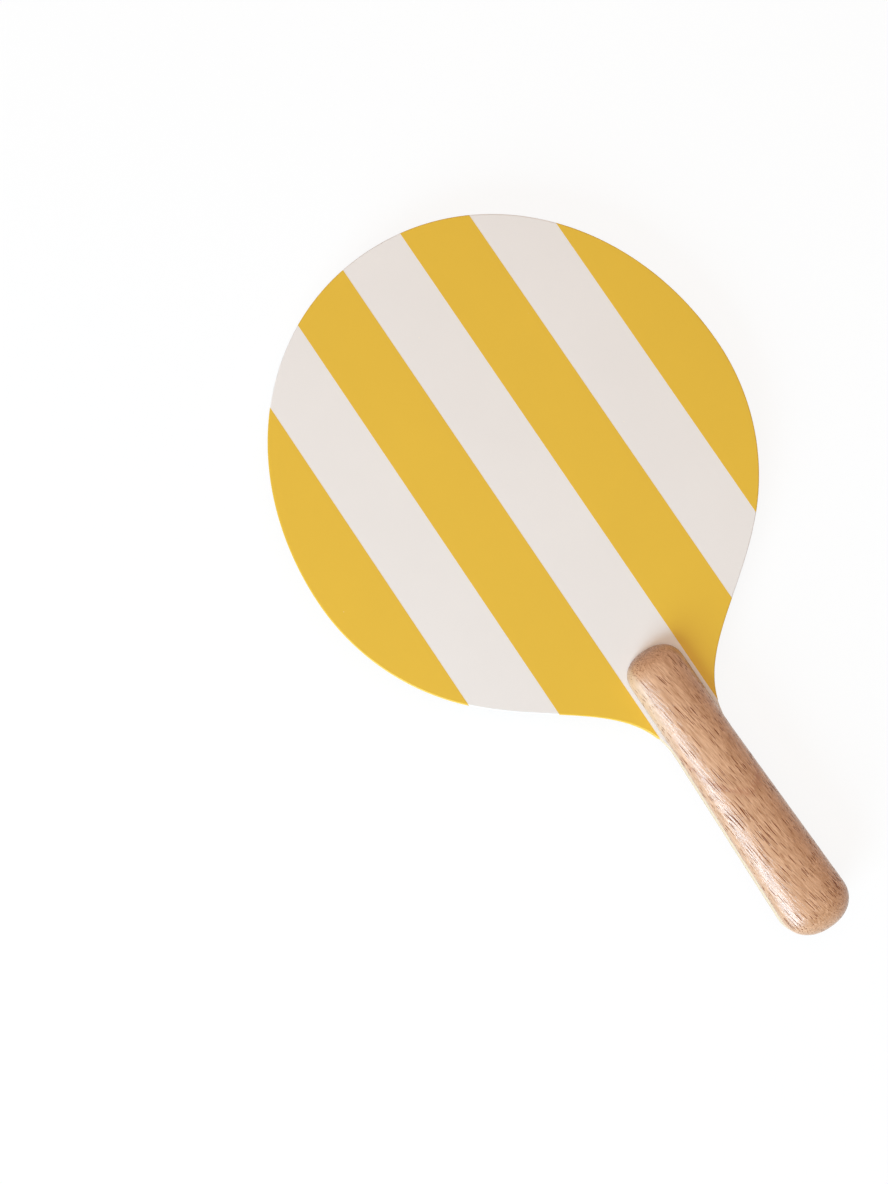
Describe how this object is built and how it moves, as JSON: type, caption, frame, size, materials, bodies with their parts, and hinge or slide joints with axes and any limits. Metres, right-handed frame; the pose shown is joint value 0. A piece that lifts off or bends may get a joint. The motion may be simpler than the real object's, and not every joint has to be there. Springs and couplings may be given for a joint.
{
  "type": "frescobol racket",
  "caption": "Flat wooden paddle with an egg-shaped head painted in wide lengthwise stripes, and a rounded grip of two wooden scales glued to its tang.",
  "frame": {"origin": "middle of the racket's length and width, level with the outermost line of the back of the grip", "axes": "+Y from the butt to the tip of the head, +X across the blade, +Z out of the front face of the blade"},
  "size_m": [0.2374, 0.4002, 0.0294],
  "materials": {
    "birch_veneer": "rotary-cut veneer under paint",
    "poplar_veneer": "cross-laid veneer under paint",
    "yellow_enamel": "satin painted",
    "white_enamel": "satin painted, warm white",
    "lacquered_rubberwood": "clear satin lacquer over open-pored wood"
  },
  "bodies": {
    "root": {"face_veneer_front": "birch_veneer", "cross_band_front": "poplar_veneer", "core_veneer": "birch_veneer", "cross_band_back": "poplar_veneer", "face_veneer_back": "birch_veneer", "front_yellow_stripe_far_left": "yellow_enamel", "front_white_stripe_left": "white_enamel", "front_yellow_stripe_inner_left": "yellow_enamel", "front_white_stripe_centre": "white_enamel", "front_yellow_stripe_inner_right": "yellow_enamel", "front_white_stripe_right": "white_enamel", "front_yellow_stripe_far_right": "yellow_enamel", "back_yellow_stripe_far_left": "yellow_enamel", "back_white_stripe_left": "white_enamel", "back_yellow_stripe_inner_left": "yellow_enamel", "back_white_stripe_centre": "white_enamel", "back_yellow_stripe_inner_right": "yellow_enamel", "back_white_stripe_right": "white_enamel", "back_yellow_stripe_far_right": "yellow_enamel", "handle_scale_front": "lacquered_rubberwood", "handle_scale_back": "lacquered_rubberwood"}
  },
  "joints": []
}
